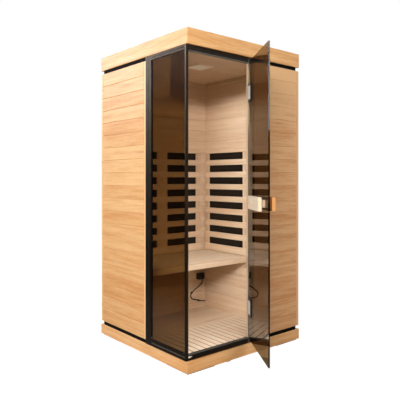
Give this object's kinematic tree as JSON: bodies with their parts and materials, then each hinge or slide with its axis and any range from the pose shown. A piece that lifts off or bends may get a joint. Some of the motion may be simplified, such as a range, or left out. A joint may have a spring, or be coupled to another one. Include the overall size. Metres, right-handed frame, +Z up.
{
  "type": "infrared sauna cabin",
  "caption": "Free-standing wooden infrared sauna cabin with a hinged glass door, glass side pane, bench and slatted heater backrests.",
  "frame": {"origin": "centre of the square footprint, on the floor", "axes": "+Z up, the door faces -Y, the glass side pane faces -X"},
  "size_m": [0.95, 1.3481, 1.917],
  "materials": {
    "cabin_wood": "satin",
    "lining_wood": "matte",
    "handle_wood": "satin",
    "frame_wood": "matte",
    "foot_wood": "matte",
    "dark_trim": "satin",
    "tinted_glass": "polished",
    "hinge_metal": "satin",
    "stainless": "brushed",
    "heater_face": "matte",
    "light_frame": "satin",
    "light_lens": "matte",
    "black_plastic": "satin",
    "lead_sheath": "matte",
    "grey_seal": "matte"
  },
  "bodies": {
    "cabin": {"plinth_front": "cabin_wood", "plinth_back": "cabin_wood", "plinth_left": "cabin_wood", "plinth_right": "cabin_wood", "floor_skids": "foot_wood", "base_panel": "frame_wood", "floor_joists": "frame_wood", "floor_deck": "lining_wood", "floor_slats": "lining_wood", "seam_strips": "dark_trim", "left_cladding": "cabin_wood", "left_core": "frame_wood", "left_lining": "lining_wood", "back_cladding": "cabin_wood", "back_core": "frame_wood", "back_lining": "lining_wood", "right_cladding": "cabin_wood", "right_core": "frame_wood", "right_lining": "lining_wood", "front_cladding": "cabin_wood", "front_core": "frame_wood", "front_lining": "lining_wood", "side_glass": "tinted_glass", "glazing_post": "dark_trim", "side_head_rail": "dark_trim", "side_sill_rail": "dark_trim", "corner_post": "dark_trim", "door_head_rail": "dark_trim", "door_sill": "dark_trim", "hinge_post": "dark_trim", "door_jamb": "lining_wood", "door_seal": "grey_seal", "roof_fascia_front": "cabin_wood", "roof_fascia_back": "cabin_wood", "roof_fascia_left": "cabin_wood", "roof_fascia_right": "cabin_wood", "roof_top": "frame_wood", "ceiling_panel": "lining_wood", "ceiling_trim": "lining_wood", "light_bezel": "light_frame", "light_diffuser": "light_lens", "supply_gland": "black_plastic", "bench_seat": "lining_wood", "bench_front_board": "lining_wood", "bench_brackets": "lining_wood", "right_backrest_slats": "lining_wood", "back_right_backrest_slats": "lining_wood", "back_left_backrest_slats": "lining_wood", "backrest_stiles": "lining_wood", "heater_panels": "heater_face", "power_socket": "black_plastic", "heater_lead": "lead_sheath", "lead_clips": "black_plastic", "hinge_frame_leaves": "hinge_metal", "hinge_pins": "stainless"},
    "door": {"door_glass": "tinted_glass", "hinge_clamps": "hinge_metal", "hinge_covers": "stainless", "handle_plates": "handle_wood", "handle_spacers": "handle_wood"}
  },
  "joints": [
    {"name": "door_hinge", "type": "hinge", "parent": "cabin", "child": "door", "pos_m": [0.009, -0.469, 0.9], "axis": [0, 0, 1], "range_deg": [-56.5, 63]}
  ]
}
